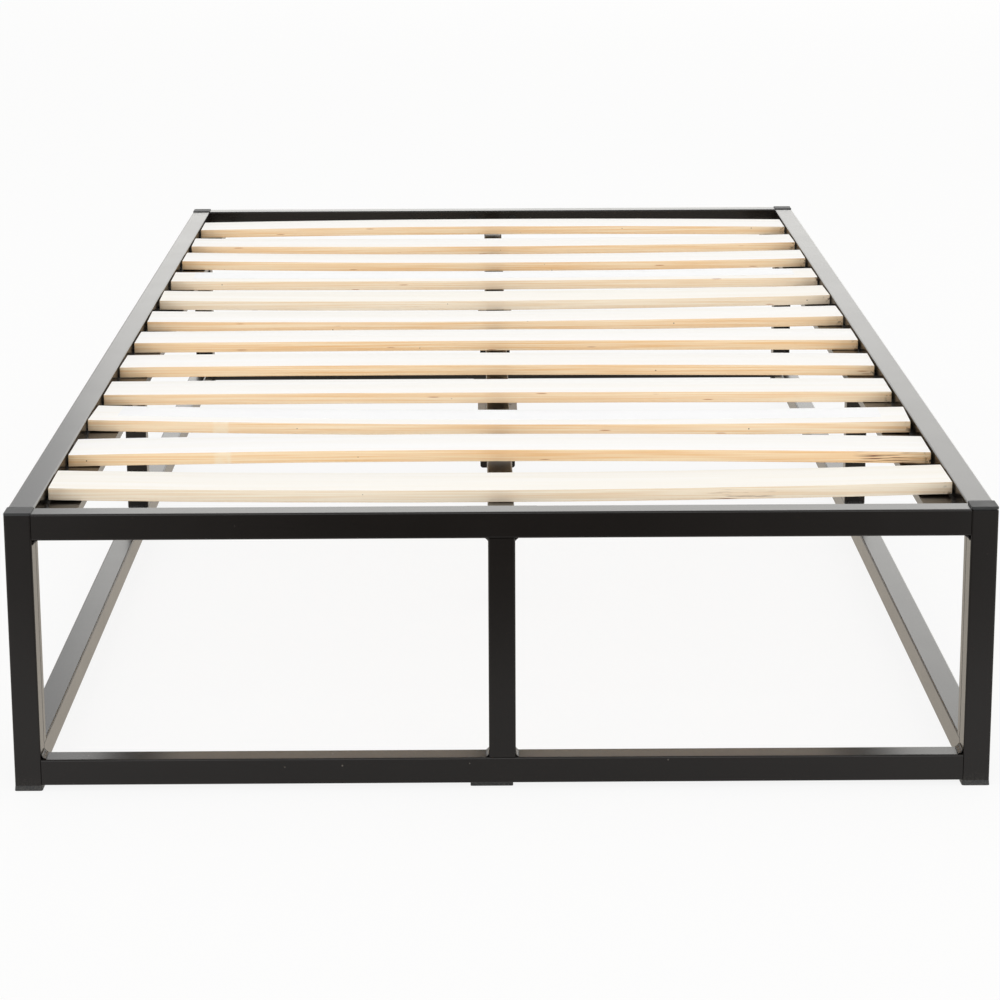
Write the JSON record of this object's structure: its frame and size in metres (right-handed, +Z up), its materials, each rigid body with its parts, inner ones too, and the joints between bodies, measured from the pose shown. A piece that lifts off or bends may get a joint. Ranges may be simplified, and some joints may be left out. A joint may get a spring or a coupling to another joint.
{
  "type": "metal bed frame",
  "caption": "Low metal platform bed frame of black square tube with loose timber slats, a centre rail on legs and plastic feet; carries a mattress.",
  "frame": {"origin": "on the floor under the middle of the frame", "axes": "+Z up, +Y along the bed from the foot end to the head end, +X to the right seen from the foot end"},
  "size_m": [0.911, 1.901, 0.2688],
  "materials": {
    "black_powder_coat": "satin black powder coat on welded steel tube and sheet",
    "black_plastic": "moulded dark grey plastic",
    "black_bolt_steel": "black oxide steel",
    "zinc_steel": "zinc plated steel",
    "slat_wood": "pale sanded poplar, unvarnished",
    "slat_tape": "matt white liner on an adhesive grip tape"
  },
  "bodies": {
    "frame": {"centre_rail": "black_powder_coat", "centre_rail_bolts": "black_bolt_steel", "centre_rail_foot_plate": "black_powder_coat", "centre_rail_head_plate": "black_powder_coat", "corner_bolts": "black_bolt_steel", "foot_bottom_rail": "black_powder_coat", "foot_centre_post": "black_powder_coat", "foot_left_foot": "black_plastic", "foot_left_post": "black_powder_coat", "foot_left_top_cap": "black_plastic", "foot_leg_bracket": "black_powder_coat", "foot_leg_lower": "black_powder_coat", "foot_leg_upper": "black_powder_coat", "foot_right_foot": "black_plastic", "foot_right_post": "black_powder_coat", "foot_right_top_cap": "black_plastic", "foot_top_rail": "black_powder_coat", "head_bottom_rail": "black_powder_coat", "head_centre_post": "black_powder_coat", "head_left_foot": "black_plastic", "head_left_post": "black_powder_coat", "head_left_top_cap": "black_plastic", "head_leg_bracket": "black_powder_coat", "head_leg_lower": "black_powder_coat", "head_leg_upper": "black_powder_coat", "head_right_foot": "black_plastic", "head_right_post": "black_powder_coat", "head_right_top_cap": "black_plastic", "head_top_rail": "black_powder_coat", "left_bottom_rail": "black_powder_coat", "left_foot_upright": "black_powder_coat", "left_head_upright": "black_powder_coat", "left_mid_post": "black_powder_coat", "left_slat_ledge": "black_powder_coat", "left_top_rail": "black_powder_coat", "leg_bolts": "black_bolt_steel", "leg_feet": "black_plastic", "rail_glides": "black_plastic", "right_bottom_rail": "black_powder_coat", "right_foot_upright": "black_powder_coat", "right_head_upright": "black_powder_coat", "right_mid_post": "black_powder_coat", "right_slat_ledge": "black_powder_coat", "right_top_rail": "black_powder_coat", "rivet_nuts": "zinc_steel", "weld_beads": "black_powder_coat"},
    "slat_01": {"slat_01": "slat_wood"},
    "slat_02": {"slat_02": "slat_wood"},
    "slat_03": {"slat_03": "slat_wood", "slat_03_tape": "slat_tape"},
    "slat_04": {"slat_04": "slat_wood"},
    "slat_05": {"slat_05": "slat_wood"},
    "slat_06": {"slat_06": "slat_wood"},
    "slat_07": {"slat_07": "slat_wood"},
    "slat_08": {"slat_08": "slat_wood"},
    "slat_09": {"slat_09": "slat_wood", "slat_09_tape": "slat_tape"},
    "slat_10": {"slat_10": "slat_wood"},
    "slat_11": {"slat_11": "slat_wood"},
    "slat_12": {"slat_12": "slat_wood"}
  },
  "joints": [
    {"name": "slat_01_lift", "type": "slide", "parent": "frame", "child": "slat_01", "axis": [0, 0, 1], "range_m": [0, 0.12]},
    {"name": "slat_02_lift", "type": "slide", "parent": "frame", "child": "slat_02", "axis": [0, 0, 1], "range_m": [0, 0.12]},
    {"name": "slat_03_lift", "type": "slide", "parent": "frame", "child": "slat_03", "axis": [0, 0, 1], "range_m": [0, 0.12]},
    {"name": "slat_04_lift", "type": "slide", "parent": "frame", "child": "slat_04", "axis": [0, 0, 1], "range_m": [0, 0.12]},
    {"name": "slat_05_lift", "type": "slide", "parent": "frame", "child": "slat_05", "axis": [0, 0, 1], "range_m": [0, 0.12]},
    {"name": "slat_06_lift", "type": "slide", "parent": "frame", "child": "slat_06", "axis": [0, 0, 1], "range_m": [0, 0.12]},
    {"name": "slat_07_lift", "type": "slide", "parent": "frame", "child": "slat_07", "axis": [0, 0, 1], "range_m": [0, 0.12]},
    {"name": "slat_08_lift", "type": "slide", "parent": "frame", "child": "slat_08", "axis": [0, 0, 1], "range_m": [0, 0.12]},
    {"name": "slat_09_lift", "type": "slide", "parent": "frame", "child": "slat_09", "axis": [0, 0, 1], "range_m": [0, 0.12]},
    {"name": "slat_10_lift", "type": "slide", "parent": "frame", "child": "slat_10", "axis": [0, 0, 1], "range_m": [0, 0.12]},
    {"name": "slat_11_lift", "type": "slide", "parent": "frame", "child": "slat_11", "axis": [0, 0, 1], "range_m": [0, 0.12]},
    {"name": "slat_12_lift", "type": "slide", "parent": "frame", "child": "slat_12", "axis": [0, 0, 1], "range_m": [0, 0.12]}
  ]
}
